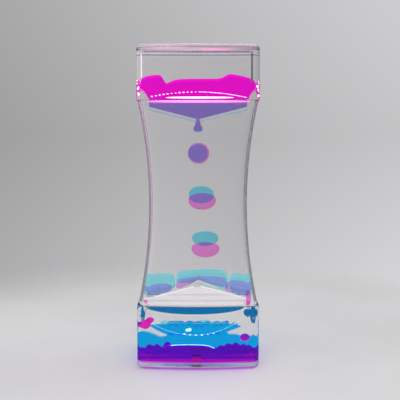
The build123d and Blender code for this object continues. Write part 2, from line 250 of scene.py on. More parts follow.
def link_mesh(name, verts, faces, finishes, face_slots=None):
    """A new object with its doubles merged, its faces turned out and only its sharp edges kept sharp."""
    mesh = bpy.data.meshes.new(name)
    mesh.from_pydata([tuple(v) for v in verts], [], faces)
    for key in finishes:
        mesh.materials.append(material(key))
    if face_slots is not None:
        for polygon, index in zip(mesh.polygons, face_slots):
            polygon.material_index = index
    shape = bmesh.new()
    shape.from_mesh(mesh)
    bmesh.ops.remove_doubles(shape, verts=shape.verts, dist=MERGE_DISTANCE)
    bmesh.ops.dissolve_degenerate(shape, edges=shape.edges, dist=LEAST_EDGE)
    bmesh.ops.recalc_face_normals(shape, faces=shape.faces)
    shape.to_mesh(mesh)
    shape.free()
    mesh.shade_smooth()
    mesh.set_sharp_from_angle(angle=SHARP_ANGLE)
    return linked(name, mesh)


def linked(name, data):
    """A new object in the scene that holds a mesh, a lamp or a camera."""
    piece = bpy.data.objects.new(name, data)
    bpy.context.scene.collection.objects.link(piece)
    return piece


def finish_piece(piece, *nodes, body=TIMER, slot=None):
    """Ties a finished piece to its body and hides the CAD nodes that it stands for.
    """
    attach(piece, body)
    if nodes:
        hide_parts(*nodes)


def ring_faces(first, second, count):
    """Quads between two rings of points."""
    return [(first + i, first + (i + 1) % count, second + (i + 1) % count, second + i) for i in range(count)]


def skin(rings, start=0):
    """Points and quads of a stack of rings."""
    verts = [p for ring in rings for p in ring]
    count = len(rings[0])
    faces = []
    for level in range(len(rings) - 1):
        faces += ring_faces(start + level * count, start + (level + 1) * count, count)
    return verts, faces


def closed_stack(name, rings, key):
    """Body made of a stack of rings, with a flat face at each end."""
    verts, faces = skin(rings)
    count = len(rings[0])
    faces.append(tuple(reversed(range(count))))
    faces.append(tuple(range(len(verts) - count, len(verts))))
    return link_mesh(name, verts, faces, [key])


def slab_liquid(name, stations, key, corner, fall=0.0):
    """Body of liquid with rounded edges from stations along X, each (x, near, far, low, high) in millimetres.

    Its upper half may fall away from the middle plane.
    """
    rings = []
    for station in stations:
        x, near, far, low, high = (value * MM for value in station)
        ring = box_ring(x, near, far, low, high, corner * MM)
        if fall:
            ring = [(x, y, z - fall * abs(y) * (z > (low + high) / 2)) for x, y, z in ring]
        rings.append(ring)
    return closed_stack(name, rings, key)


def turned(name, profile, place, key, steps):
    """Body turned about an upright line from (radius, height) points in millimetres, bottom first."""
    x, y, z = (value * MM for value in place)
    angles = spread(0, 2 * math.pi, steps)
    rings = [
        [(x + radius * MM * math.cos(a), y + radius * MM * math.sin(a), z + height * MM) for a in angles]
        for radius, height in profile
    ]
    return closed_stack(name, rings, key)


def lens_profile(radius, crown, belly, steps=18, fullness=2.0):
    """Profile of a drop: flat crown above, rounder belly below."""
    points = []
    for i in range(2 * steps + 1):
        a = -math.pi / 2 + math.pi * i / (2 * steps)
        c, s = math.cos(a), math.sin(a)
        r = radius * max(abs(c), 1e-4) ** (2 / fullness)
        z = math.copysign(abs(s) ** (2 / fullness), s) * (crown if s > 0 else belly)
        points.append((r, z))
    return points


def blob(name, centre, half, tilt, key, profile_steps=14, steps=28):
    """Rounded blob of liquid in millimetres, leaning by a tilt in the front view."""
    rings = []
    for r, z in lens_profile(1.0, 1.0, 1.0, profile_steps):
        ring = []
        for a in spread(0, 2 * math.pi, steps):
            x, y, h = r * math.cos(a) * half[0], r * math.sin(a) * half[1], z * half[2]
            x, h = x * math.cos(tilt) - h * math.sin(tilt), x * math.sin(tilt) + h * math.cos(tilt)
            ring.append(((centre[0] + x) * MM, (centre[1] + y) * MM, (centre[2] + h) * MM))
        rings.append(ring)
    return closed_stack(name, rings, key)


# Nodes


def feed(tree, target, inputs):
    """Gives a node its inputs, each a value or the socket that it comes from."""
    for key, value in inputs.items():
        if isinstance(value, bpy.types.NodeSocket):
            tree.links.new(value, target.inputs[key])
        else:
            target.inputs[key].default_value = value


def node(tree, kind, inputs=None, **settings):
    """A new node with its settings and its inputs."""
    made = tree.nodes.new(kind)
    for key, value in settings.items():
        setattr(made, key, value)
    feed(tree, made, inputs or {})
    return made


def blend(tree, factor, first, second, kind="MIX"):
    """Mixes or multiplies two colours."""
    inputs = {"Factor": factor, "A": first, "B": second}
    return node(tree, "ShaderNodeMix", inputs, data_type="RGBA", blend_type=kind).outputs["Result"]


def ramp(tree, factor, stops, interpolation="LINEAR"):
    """Colour ramp from stops of (place, colour)."""
    made = node(tree, "ShaderNodeValToRGB", {"Fac": factor})
    band = made.color_ramp
    band.interpolation = interpolation
    for index, (place, tint) in ((0, stops[0]), (1, stops[-1])):
        band.elements[index].position = place
        band.elements[index].color = (*tint, 1)
    for place, tint in stops[1:-1]:
        band.elements.new(place).color = (*tint, 1)
    return made.outputs["Color"]


def map_range(tree, value, low, high, to_low=0.0, to_high=1.0, kind="LINEAR"):
    """Carries a range of values over to another."""
    inputs = {"Value": value, "From Min": low, "From Max": high, "To Min": to_low, "To Max": to_high}
    return node(tree, "ShaderNodeMapRange", inputs, interpolation_type=kind).outputs["Result"]


def larger(tree, first, second):
    """The larger of two values."""
    return node(tree, "ShaderNodeMath", {0: first, 1: second}, operation="MAXIMUM").outputs[0]


def mottle_nodes(tree, given):
    """Fine cloudy variation that every finish uses."""
    place = node(tree, "ShaderNodeTexCoord").outputs["Object"]
    noise = node(tree, "ShaderNodeTexNoise", {"Vector": place, "Scale": given["Scale"], "Detail": 3.0})
    cloud = noise.outputs["Fac"]
    rough = {0: cloud, 1: given["Roughness Change"], 2: given["Roughness"]}
    return {
        "Colour": blend(tree, cloud, given["Colour"], given["Second Colour"]),
        "Roughness": node(tree, "ShaderNodeMath", rough, operation="MULTIPLY_ADD").outputs[0],
        "Height": cloud,
    }


STREAK_SCALE = (45.0, 45.0, 1150.0)
# Stops of the painted glow streaks: faint lines, full colour and painted highlights brighter than the tint
GLOW_STREAK_STOPS = [(0.36, (0.16, 0.14, 0.17)), (0.50, (0.75, 0.75, 0.75)), (0.64, (1.5, 1.7, 1.45))]


def glow_streak_nodes(tree, given):
    """Fine lines along X, from dark to full colour to nearly white, that colour a painted glow."""
    place = node(tree, "ShaderNodeTexCoord").outputs["Object"]
    squeeze = node(tree, "ShaderNodeMapping", {"Scale": STREAK_SCALE, "Vector": place})
    inputs = {"Scale": 1.0, "Detail": 2.0, "Vector": squeeze.outputs["Vector"]}
    noise = node(tree, "ShaderNodeTexNoise", inputs)
    lines = ramp(tree, noise.outputs["Fac"], GLOW_STREAK_STOPS)
    return {"Colour": blend(tree, 1.0, given["Colour"], lines, "MULTIPLY")}


def dressed(tree, geometry, given):
    """Smooth real geometry with its finish."""
    smooth = node(tree, "GeometryNodeSetShadeSmooth", {0: geometry})
    whole = node(tree, "GeometryNodeRealizeInstances", {0: smooth.outputs[0]})
    inputs = {"Geometry": whole.outputs[0], "Material": given["Finish"]}
    return node(tree, "GeometryNodeSetMaterial", inputs).outputs[0]


BEAD_SEGMENTS, BEAD_RINGS, LINE_SIDES = 8, 6, 8


def bead_nodes(tree, given):
    """Small beads of uneven size along a path."""
    path = node(tree, "GeometryNodeMeshToCurve", {0: given["Path"]}).outputs[0]
    places = node(tree, "GeometryNodeCurveToPoints", {0: path, "Count": given["Count"]}, mode="COUNT")
    reach = [
        node(tree, "ShaderNodeVectorMath", {0: end, "Scale": given["Scatter"]}, operation="SCALE").outputs[0]
        for end in ((-1, -1, -1), (1, 1, 1))
    ]
    shift = {0: reach[0], 1: reach[1], "Seed": given["Seed"]}
    offset = node(tree, "FunctionNodeRandomValue", shift, data_type="FLOAT_VECTOR").outputs[0]
    points = node(tree, "GeometryNodeSetPosition", {"Geometry": places.outputs[0], "Offset": offset})
    ball = node(tree, "GeometryNodeMeshUVSphere", {
        "Segments": BEAD_SEGMENTS, "Rings": BEAD_RINGS, "Radius": given["Radius"],
    })
    stretch = node(tree, "ShaderNodeCombineXYZ", {"X": given["Length Share"], "Y": 1.0, "Z": 1.0})
    bead = node(tree, "GeometryNodeTransform", {
        "Geometry": ball.outputs["Mesh"], "Scale": stretch.outputs[0],
    })
    least, most = [
        node(tree, "ShaderNodeMath", {0: 1.0, 1: given["Radius Change"]}, operation=kind).outputs[0]
        for kind in ("SUBTRACT", "ADD")
    ]
    change = {2: least, 3: most, "Seed": given["Seed"]}
    size = node(tree, "FunctionNodeRandomValue", change, data_type="FLOAT")
    each = node(tree, "GeometryNodeInstanceOnPoints", {
        "Points": points.outputs[0], "Instance": bead.outputs[0], "Scale": size.outputs[1],
    })
    return {"Beads": dressed(tree, each.outputs[0], given)}


def line_nodes(tree, given):
    """Round line along a path."""
    path = node(tree, "GeometryNodeMeshToCurve", {0: given["Path"]}).outputs[0]
    circle = {"Resolution": LINE_SIDES, "Radius": given["Radius"]}
    section = node(tree, "GeometryNodeCurvePrimitiveCircle", circle)
    sweep = {"Curve": path, "Profile Curve": section.outputs[0], "Fill Caps": True}
    return {"Line": dressed(tree, node(tree, "GeometryNodeCurveToMesh", sweep).outputs[0], given)}


# Node groups: kind, inputs as (name, kind, default), outputs, and the function that fills the group
GROUPS = {
    "fine_mottle": (
        "ShaderNodeTree",
        [("Colour", "Color", WHITE), ("Second Colour", "Color", WHITE), ("Scale", "Float", 100.0),
         ("Roughness", "Float", 0.02), ("Roughness Change", "Float", 0.02)],
        [("Colour", "Color"), ("Roughness", "Float"), ("Height", "Float")],
        mottle_nodes,
    ),
    "edge_streaks": ("ShaderNodeTree", [("Colour", "Color")], [("Colour", "Color")], glow_streak_nodes),
    "bead_row": (
        "GeometryNodeTree",
        [("Path", "Geometry"), ("Count", "Int", 12), ("Radius", "Float", 0.0003),
         ("Radius Change", "Float", 0.3), ("Length Share", "Float", 1.0), ("Scatter", "Float", 0.0),
         ("Seed", "Int", 1), ("Finish", "Material")],
        [("Beads", "Geometry")],
        bead_nodes,
    ),
    "edge_line": (
        "GeometryNodeTree",
        [("Path", "Geometry"), ("Radius", "Float", 0.0003), ("Finish", "Material")],
        [("Line", "Geometry")],
        line_nodes,
    ),
}


def node_group(name):
    """The node group with this name, made when it is first asked for."""
    known = bpy.data.node_groups.get(name)
    if known:
        return known
    kind, inputs, outputs, fill = GROUPS[name]
    tree = bpy.data.node_groups.new(name, kind)
    for direction, sockets in (("INPUT", inputs), ("OUTPUT", outputs)):
        for label, socket_kind, *default in sockets:
            socket = tree.interface.new_socket(
                name=label, in_out=direction, socket_type=f"NodeSocket{socket_kind}"
            )
            if default:
                socket.default_value = default[0]
    node(tree, "NodeGroupOutput", fill(tree, node(tree, "NodeGroupInput").outputs))
    return tree


# Finishes

BUMP_DEPTH = 0.0002


def finish(name, tint, second=None, scale=120.0, rough=0.0, rough_change=0.02, ior=1.45, clear=1.0, bump=0.0,
           shade=None, glow=0.0, glow_colour=None, alpha=1.0):
    """A finish made of the fine mottle and a Principled shader; clear ones let lamp light through, and its
    glow is painted light.
    """
    made = bpy.data.materials.new(name)
    made.use_nodes = True
    tree = made.node_tree
    tree.nodes.clear()
    mottle = node(tree, "ShaderNodeGroup", {
        "Colour": (*tint, 1), "Second Colour": (*(second or tint), 1), "Scale": scale, "Roughness": rough,
        "Roughness Change": rough_change,
    }, node_tree=node_group("fine_mottle"))
    shader = node(tree, "ShaderNodeBsdfPrincipled", {
        "Base Color": mottle.outputs["Colour"], "Roughness": mottle.outputs["Roughness"], "IOR": ior,
        "Transmission Weight": clear, "Alpha": alpha,
    })
    if glow:
        feed(tree, shader, {"Emission Color": (*(glow_colour or tint), 1), "Emission Strength": glow})
    if bump:
        relief = {"Strength": bump, "Distance": BUMP_DEPTH, "Height": mottle.outputs["Height"]}
        feed(tree, shader, {"Normal": node(tree, "ShaderNodeBump", relief).outputs["Normal"]})
    surface = shader
    if shade is not None:
        path = node(tree, "ShaderNodeLightPath")
        through = node(tree, "ShaderNodeBsdfTransparent", {"Color": (*shade, 1)})
        surface = node(tree, "ShaderNodeMixShader", {
            "Fac": path.outputs["Is Shadow Ray"], 1: shader.outputs[0], 2: through.outputs[0],
        })
    node(tree, "ShaderNodeOutputMaterial", {"Surface": surface.outputs[0]})
    return made


def soften(tint, share):
    """A tint moved towards white by a share."""
    return tuple(c + (1 - c) * share for c in tint)


def scaled(tint, share):
    """A tint made darker or brighter."""
    return tuple(c * share for c in tint)


def clear_plastic(name, ior, paleness):
    """Clear moulded plastic, with more refraction where it meets air."""
    plastic = colours().plastic
    return finish(name, soften(plastic, paleness), soften(plastic, min(1.0, paleness + 0.3)), scale=60.0,
                  rough_change=0.012, ior=ior, shade=soften(plastic, 0.5))


def glow_streaked(name, tint, glow, paleness):
    """Clear plastic whose edge glows with fine streaks of the colours near it, painted light that stands in
    for their refraction.
    """
    made = finish(name, soften(tint, paleness), ior=1.49, clear=0.85, shade=(0.95, 0.95, 0.95), glow=glow)
    tree = made.node_tree
    streaks = node(tree, "ShaderNodeGroup", {"Colour": (*tint, 1)}, node_tree=node_group("edge_streaks"))
    feed(tree, tree.nodes["Principled BSDF"], {"Emission Color": streaks.outputs["Colour"]})
    return made


def painted_light_finish(name, tint, glow, clear=0.7):
    """Slightly see-through finish with a painted glow, for painted highlights and painted dark and coloured
    lines at edges.
    """
    return finish(name, tint, soften(tint, 0.3), scale=700.0, rough=0.4, rough_change=0.2, ior=1.0,
                  clear=clear, shade=(0.96, 0.96, 0.96), glow=glow, glow_colour=tint)


def liquid(name, tint, ior, clear, glow=0.0, glow_colour=None):
    """Coloured liquid, whose glow is painted light that brightens it from within."""
    return finish(name, tint, scaled(tint, 0.93), scale=90.0, rough_change=0.01, ior=ior, clear=clear,
                  shade=soften(tint, 0.45), glow=glow, glow_colour=glow_colour)


def bubble_skin(name, tint):
    """Skin of a bubble, a little paler than its liquid."""
    return liquid(name, soften(tint, 0.1), 1.16, 1.0)


def faint_liquid(name, tint):
    """Clear liquid that hardly shows."""
    return finish(name, tint, (1, 1, 1), ior=1.001, alpha=0.04, shade=(1, 1, 1))


def plug_plastic(name, tint):
    """Red plastic with a grained skin and a painted red glow."""
    return finish(name, tint, soften(tint, 0.05), scale=400.0, rough=0.3, rough_change=0.15, ior=1.46,
                  clear=0.5, bump=0.15, glow=0.12, glow_colour=(1.0, 0.0, 0.25))


# Each finish: its function and what that takes; a word stands for one of the panel's colours
RECIPES = {
    "clear_plastic_skin": (clear_plastic, 1.49, 0.0),
    "clear_plastic_wet": (clear_plastic, 1.035, 0.7),
    "clear_plastic_plate": (clear_plastic, 1.012, 0.8),
    "clear_plastic_roof": (clear_plastic, 1.006, 0.9),
    "clear_plastic_glued": (clear_plastic, 1.0, 1.0),
    # Edges of the cups that glow with painted streaks of the liquids' refracted colours
    "clear_plastic_base_edge": (glow_streaked, "base_band", 0.26, 0.5),
    "clear_plastic_top_edge": (glow_streaked, "top_band", 0.3, 0.55),
    "clear_plastic_base_line": (glow_streaked, (0.52, 0.10, 0.62), 0.3, 0.1),
    "clear_plastic_top_line": (glow_streaked, (0.72, 0.66, 0.70), 0.1, 0.7),
    "clear_liquid": (faint_liquid, (0.985, 0.985, 0.985)),
    # The liquids' glows are painted light that brightens each liquid from within
    "pink_pool_liquid": (liquid, "pink_pool", 1.02, 0.98, 0.17, (1, 0, 0.7)),
    "pink_deep_liquid": (liquid, "pink_deep", 1.01, 0.99, 0.045, (1, 0, 0.4)),
    "pink_foot_liquid": (liquid, "pink_foot", 1.0, 0.9, 0.25, (1, 0, 0.6)),
    "pink_drop_liquid": (liquid, "pink_drop", 1.005, 0.99, 0.03, (1, 0.2, 0.4)),
    "pink_puddle_liquid": (liquid, "pink_puddle", 1.004, 1.0, 0.02, (0.6, 0.5, 1)),
    "pink_bead_liquid": (liquid, "pink_bead", 1.05, 0.96, 0.08, (1, 0, 0.5)),
    "blue_pool_liquid": (liquid, "blue_pool", 1.01, 0.99, 0.045, (0, 0.65, 1)),
    "blue_drop_liquid": (liquid, "blue_drop", 1.005, 0.99, 0.02, (0, 0.4, 1)),
    "blue_puddle_liquid": (liquid, "blue_puddle", 1.004, 1.0, 0.03, (0.4, 0.8, 1)),
    "blue_film_liquid": (liquid, "blue_film", 1.004, 1.0, 0.01, (0, 0.5, 1)),
    "blue_bubble_skin": (bubble_skin, "blue_puddle"),
    "violet_bubble_skin": (liquid, (0.42, 0.12, 0.90), 1.14, 1.0, 0.02, (0.5, 0.2, 1)),
    # Painted highlights, painted glows and painted dark and coloured edge lines
    "bright_joint_line": (painted_light_finish, "glint", 0.62),
    "lilac_joint_line": (painted_light_finish, "lilac", 0.60),
    "pale_foam": (painted_light_finish, "foam", 0.45),
    "pale_moulded_edge": (painted_light_finish, (0.95, 0.94, 0.93), 0.2),
    "pale_roof_face": (painted_light_finish, (1.0, 1.0, 0.98), 0.04, 0.8),
    "dark_edge_line": (painted_light_finish, (0.08, 0.07, 0.09), 0.02, 0.1),
    "grey_edge_line": (painted_light_finish, (0.36, 0.35, 0.38), 0.04, 0.5),
    "purple_edge_line": (painted_light_finish, (0.40, 0.06, 0.58), 0.16, 0.4),
    "mauve_edge_line": (painted_light_finish, (0.42, 0.17, 0.33), 0.12, 0.4),
    "rose_edge_line": (painted_light_finish, (0.95, 0.46, 0.80), 0.16, 0.5),
    "lavender_edge_line": (painted_light_finish, (0.78, 0.66, 0.79), 0.10, 0.4),
    "red_plug_plastic": (plug_plastic, "plug"),
}
FINISHES = {}


def material(name):
    """The finish with this name, made when it is first asked for."""
    if name not in FINISHES:
        make, *values = RECIPES[name]
        values = [tuple(getattr(colours(), value)) if isinstance(value, str) else value for value in values]
        FINISHES[name] = make(name, *values)
    return FINISHES[name]


# Clear mouldings

SKIN, WET, GLUED, BAND, LINE = range(5)
CUP_LEVELS, TUBE_LEVELS = 10, 72
OUTER_EDGE_STEPS, INNER_EDGE_STEPS = 8, 5
LEAST_CORNER, END_INSET = 1e-4, 1.15
# The band of painted glow on the front of a cup's end edge: its straight height, and where its line begins as
# a share of the rounding
BAND_HEIGHT, BAND_ROUND = 0.0016, 0.55
BAND_MARGIN, SIDE_MARGIN = 1.01, 1e-5


def cup_rings(half_width, half_depth, corner, high, edge, edge_steps):
    """Rings from a cup's open rim at zero height to its closed end, whose edge is rounded."""
    bow_radius = arc_radius(half_width, sizes().face_bow)
    straight = high - edge
    rows = [(0.0, z) for z in (*np.linspace(0.0, straight - BAND_HEIGHT, CUP_LEVELS), straight)]
    for i in range(1, edge_steps + 1):
        a = math.pi / 2 * i / edge_steps
        rows.append((edge * (1 - math.cos(a)), straight + edge * math.sin(a)))
    rows.append((edge * END_INSET, high))
    return [
        plan_ring(
            half_width - inset, half_depth - inset, max(corner - inset, LEAST_CORNER), bow_radius - inset, z
        )
        for inset, z in rows
    ]


def cup_mesh(name, joint, end):
    """A cup between its joint and its end, as one closed wall."""
    s = sizes()
    height = abs(end - joint)
    half_width, half_depth, wall = s.cup_width / 2, s.cup_depth / 2, s.cup_wall
    outer = cup_rings(half_width, half_depth, s.cup_corner, height, s.cup_edge, OUTER_EDGE_STEPS)
    inner = cup_rings(
        half_width - wall, half_depth - wall, s.cup_corner - wall, height - s.end_wall, s.cavity_edge,
        INNER_EDGE_STEPS,
    )
    tube_bow = arc_radius(s.tube_width / 2, s.face_bow)
    step = plan_ring(s.tube_width / 2, s.tube_depth / 2, s.tube_corner, tube_bow, 0.0)
    verts, faces = skin(outer)
    band_low, band_high = height - s.cup_edge - BAND_HEIGHT * BAND_MARGIN, height - s.cup_edge * BAND_ROUND
    slots = []
    for face in faces:
        x, y, z = verts[face[0]]
        # Only the front faces of the end edge carry the painted glow of the band and its line.
        in_front = y < 0 and abs(x) < half_width - SIDE_MARGIN
        slots.append(LINE if in_front and z >= band_high else BAND if in_front and z > band_low else SKIN)
    count, start = len(step), len(verts)
    faces.append(tuple(range(start - count, start)))
    slots.append(SKIN)
    inner_verts, inner_faces = skin(inner, start)
    verts += inner_verts
    middle = len(verts)
    faces += [*inner_faces, tuple(range(middle - count, middle))]
    slots += [WET] * (len(inner_faces) + 1)
    verts += step
    faces += ring_faces(0, middle, count) + ring_faces(middle, start, count)
    slots += [SKIN] * count + [GLUED] * count
    edge, sign = ("top", 1) if end > joint else ("base", -1)
    verts = [(x, y, joint + sign * z) for x, y, z in verts]
    finishes = [f"clear_plastic_{part}" for part in ("skin", "wet", "glued", f"{edge}_edge", f"{edge}_line")]
    return link_mesh(name, verts, faces, finishes, slots)


def tube_mesh(name):
    """The waisted tube as one closed wall, glued at both ends."""
    s = sizes()
    bow = arc_radius(s.tube_width / 2, s.face_bow)
    levels = np.linspace(s.lower_joint, s.upper_joint, TUBE_LEVELS)
    outer, inner = [
        [
            plan_ring(tube_half_width(z) - wall, s.tube_depth / 2 - wall, s.tube_corner - wall, bow, z)
            for z in levels
        ]
        for wall in (0.0, s.tube_wall)
    ]
    verts, faces = skin(outer)
    count, start = len(outer[0]), len(verts)
    inner_verts, inner_faces = skin(inner, start)
    verts += inner_verts
    ends = ring_faces(0, start, count) + ring_faces(start - count, len(verts) - count, count)
    slots = [SKIN] * len(faces) + [WET] * len(inner_faces) + [GLUED] * len(ends)
    finishes = [f"clear_plastic_{part}" for part in ("skin", "wet", "glued")]
    return link_mesh(name, verts, faces + inner_faces + ends, finishes, slots)


class TIMER_OT_clear_mouldings(bpy.types.Operator):
    """Build the waisted tube and the two cups"""

    bl_idname = "timer.clear_mouldings"
    bl_label = "Clear mouldings"

    def execute(self, context):
        s = sizes()
        finish_piece(tube_mesh("clear_waisted_tube"), "waist_tube")
        finish_piece(cup_mesh("clear_upper_cup", s.upper_joint, s.total_height), "upper_cup")
        finish_piece(cup_mesh("clear_lower_cup", s.lower_joint, 0.0), "lower_cup")
        return {"FINISHED"}


# Liquids and inner parts. Tables are in millimetres from the middle of the base.

UPPER_JOINT, LOWER_JOINT = 114.1, 26.9
ROOF_PEAK, ROOF_FALL = 35.88, 5.4 / 20.6
CHAMBER_MIDDLE = 8.1

INNER_PLATES = {
    "upper_funnel_plate": "clear_plastic_plate",
    "lower_funnel_plate": "clear_plastic_roof",
    "rear_fill_plug": "clear_plastic_plate",
    "tube_divider": "clear_plastic_glued",
    "upper_divider": "clear_plastic_glued",
    "lower_divider": "clear_plastic_glued",
}
PLUG_PLACE, PLUG_STEPS = (-0.6, -CHAMBER_MIDDLE, 0.0), 32
PLUG_BODY = [(1.95, 1.3), (2.1, 1.4), (2.1, 3.0), (1.9, 3.2)]
PLUG_STEM = [(2.0, 0.0), (2.0, 1.29)]


def dress_node(name, key):
    """Gives a CAD node its finish."""
    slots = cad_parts[name].data.materials
    slots.clear()
    slots.append(material(key))


class TIMER_OT_inner_plates(bpy.types.Operator):
    """Finish the funnel plates, the divider and the fill plugs"""

    bl_idname = "timer.inner_plates"
    bl_label = "Inner plates"

    def execute(self, context):
        for name, key in INNER_PLATES.items():
            dress_node(name, key)
        plug = turned("front_plug_body", PLUG_BODY, PLUG_PLACE, "red_plug_plastic", PLUG_STEPS)
        finish_piece(plug, "front_fill_plug", slot="red_plug")
        finish_piece(turned("front_plug_stem", PLUG_STEM, PLUG_PLACE, "clear_plastic_glued", PLUG_STEPS))
        return {"FINISHED"}


class TIMER_OT_clear_liquids(bpy.types.Operator):
    """Finish the six bodies of clear liquid"""

    bl_idname = "timer.clear_liquids"
    bl_label = "Clear liquids"

    def execute(self, context):
        for place in ("front", "rear"):
            for level in ("upper", "middle", "lower"):
                dress_node(f"{place}_{level}_clear_liquid", "clear_liquid")
        return {"FINISHED"}


# A pool follows the cup's corners from this far out, and no station is thinner than twice LEAST_REACH.
POOL_CORNER, POOL_CORNER_START, LEAST_REACH = 1.7, 23.0, 0.004


def slab_stations(x_low, x_high, low_line, high_line, side, *, near, far_margin, count, end_round):
    """Stations of a slab of liquid between two lines, rounded at both ends, inside one chamber."""
    stations = []
    for i in range(count + 1):
        x = x_low + (x_high - x_low) * (0.5 - 0.5 * math.cos(math.pi * (i / count)))
        low, high = low_line(x), high_line(x)
        end = min(x - x_low, x_high - x)
        if end < end_round:
            share = math.sqrt(max(0.0, 1 - (1 - end / end_round) ** 2))
            middle = (low + high) / 2
            reach = max((high - low) / 2 * share, LEAST_REACH)
            low, high = middle - reach, middle + reach
        corner = max(0.0, abs(x) - POOL_CORNER_START)
        inset = POOL_CORNER - math.sqrt(max(0.0, POOL_CORNER**2 - corner**2))
        far = front_limit(x, (low + high) / 2) - far_margin - inset
        stations.append((x, *sorted((side * near, side * far)), low, high))
    return stations


def roof(x):
    """Height of the roof's top at a place across it."""
    return ROOF_PEAK - ROOF_FALL * abs(x)


PINK_UPPER_TOP = curve(
    [(-24.1, 121.0), (-23.8, 122.7), (-22.4, 124.0), (-16.6, 124.7), (-15.1, 124.1), (-13.3, 120.6),
     (-12.0, 121.5), (-9.0, 122.6), (-4.0, 122.8), (5.0, 122.8), (9.6, 122.9), (12.2, 124.6), (14.0, 124.9),
     (18.6, 124.1), (23.2, 122.8), (24.1, 121.0)]
)
PINK_UPPER_LOW = curve(
    [(-24.1, 119.8), (-23.8, 118.9), (-21.9, 117.2), (-20.9, 114.9), (-20.0, 114.25), (20.2, 114.25),
     (21.2, 114.8), (22.3, 117.2), (23.8, 118.9), (24.1, 119.8)]
)
GUTTER_DEPTH, GUTTER_GAP, GUTTER_END = 8.15, 0.08, 20.5
GUTTER_NEAR, GUTTER_FAR = 1.5, 14.3
GUTTER_TOPS = {"pink": 114.0, "blue": 113.65}


class TIMER_OT_upper_pools(bpy.types.Operator):
    """Build the liquids over the upper funnel plate"""

    bl_idname = "timer.upper_pools"
    bl_label = "Upper pools"

    def execute(self, context):
        pool = slab_stations(
            -24.1, 24.1, PINK_UPPER_LOW, PINK_UPPER_TOP, FRONT, near=0.72, far_margin=0.4, count=180,
            end_round=0.6,
        )
        finish_piece(slab_liquid("pink_cup_pool", pool, "pink_pool_liquid", 0.5), "pink_upper_pool")
        for tone, top in GUTTER_TOPS.items():
            near, far = sorted((SIDES[tone] * GUTTER_NEAR, SIDES[tone] * GUTTER_FAR))
            gutter = [
                (x, near, far, UPPER_JOINT - GUTTER_DEPTH + ROOF_FALL * abs(x) + GUTTER_GAP, top)
                for x in np.linspace(-GUTTER_END, GUTTER_END, 61)
            ]
            piece = slab_liquid(f"{tone}_gutter_pool", gutter, f"{tone}_drop_liquid", 0.25)
            finish_piece(piece, f"{tone}_upper_pool")
        return {"FINISHED"}


# Falling drops: drift, height of the widest line, radius, crown height and belly height
DROPS = {
    "pink_drop_1": (0.26, 91.8, 4.45, 4.45, 4.45),
    "pink_drop_2": (1.75, 71.76, 5.8, 3.02, 4.17),
    "pink_drop_3": (3.14, 51.02, 5.95, 2.6, 3.9),
    "blue_drop_1": (0.1, 91.85, 3.7, 3.7, 3.7),
    "blue_drop_2": (1.4, 73.3, 5.35, 3.85, 3.7),
    "blue_drop_3": (3.05, 54.0, 5.6, 2.9, 3.8),
}
DROP_FULLNESS = 2.08
HANGING_DEPTH = 9.577
HANGING_PROFILE = [
    (0.02, -3.4), (0.7, -3.38), (1.3, -3.22), (1.75, -2.8), (1.95, -2.3), (1.86, -1.75), (1.55, -1.2),
    (1.2, -0.6), (0.98, 0.0), (0.93, 0.7), (0.93, 1.5),
]


class TIMER_OT_drops(bpy.types.Operator):
    """Build the hanging and the falling drops"""

    bl_idname = "timer.drops"
    bl_label = "Drops"

    def execute(self, context):
        for name, (drift, level, radius, crown, belly) in DROPS.items():
            tone = name.split("_")[0]
            profile = lens_profile(radius, crown, belly, fullness=DROP_FULLNESS)
            place = (drift, SIDES[tone] * CHAMBER_MIDDLE, level)
            finish_piece(turned(f"{name}_bead", profile, place, f"{tone}_drop_liquid", 64), name, body=name)
        for tone, side in SIDES.items():
            place = (0.0, side * CHAMBER_MIDDLE, UPPER_JOINT - HANGING_DEPTH)
            bead = turned(f"{tone}_hanging_bead", HANGING_PROFILE, place, f"{tone}_drop_liquid", 40)
            finish_piece(bead, f"{tone}_hanging_drop")
        return {"FINISHED"}


# Puddles: left end, right end, top line, height of the underside over the roof at the left and right ends,
# and how far it is lifted over the ridge
PUDDLES = {
    "blue_left_puddle": (-21.9, -9.7, [(-22, 35.9), (-19, 37.1), (-14, 37.3), (-9.5, 37.0)], -1.9, -1.9, 0.0),
    "blue_centre_puddle": (
        -9.3, 13.0, [(-10, 37.9), (-6, 38.3), (0, 39.1), (8, 39.2), (13.2, 38.3)], 0.6, -1.9, 0.4,
    ),
    "blue_right_puddle": (13.3, 21.8, [(13, 36.7), (15, 37.3), (18, 37.2), (21.5, 36.1)], -1.9, -1.9, 0.0),
    "pink_left_puddle": (-21.4, -11.2, [(-22, 33.3), (-19, 34.5), (-14, 35.0), (-11, 34.3)], 0.1, 0.1, 0.0),
    "pink_centre_puddle": (
        -9.2, 12.2, [(-10, 36.5), (-6, 37.5), (0, 37.9), (8, 38.1), (12.4, 37.3)], 0.1, 1.9, 1.4,
    ),
    "pink_right_puddle": (11.4, 21.6, [(11, 34.3), (13.5, 36.2), (17, 36.4), (21.5, 35.3)], 0.1, 0.1, 0.0),
}
PUDDLE_MARGINS = {"pink": 2.6, "blue": 0.5}
RIDGE_PLACE, RIDGE_WIDTH = 1.0, 4.0


class TIMER_OT_puddles(bpy.types.Operator):
    """Build the puddles on the roof"""

    bl_idname = "timer.puddles"
    bl_label = "Puddles"

    def execute(self, context):
        for name, (left, right, top, left_foot, right_foot, lift) in PUDDLES.items():
            tone = name.split("_")[0]

            def low(x, foot=curve([(left, left_foot), (right, right_foot)], 0), lift=lift):
                return roof(x) + foot(x) + lift * math.exp(-((x - RIDGE_PLACE) / RIDGE_WIDTH) ** 2)

            stations = slab_stations(
                left, right, low, curve(top), SIDES[tone], near=0.9, far_margin=PUDDLE_MARGINS[tone],
                count=48, end_round=2.2,
            )
            finish_piece(slab_liquid(f"{name}_sheet", stations, f"{tone}_puddle_liquid", 1.3), name)
        return {"FINISHED"}


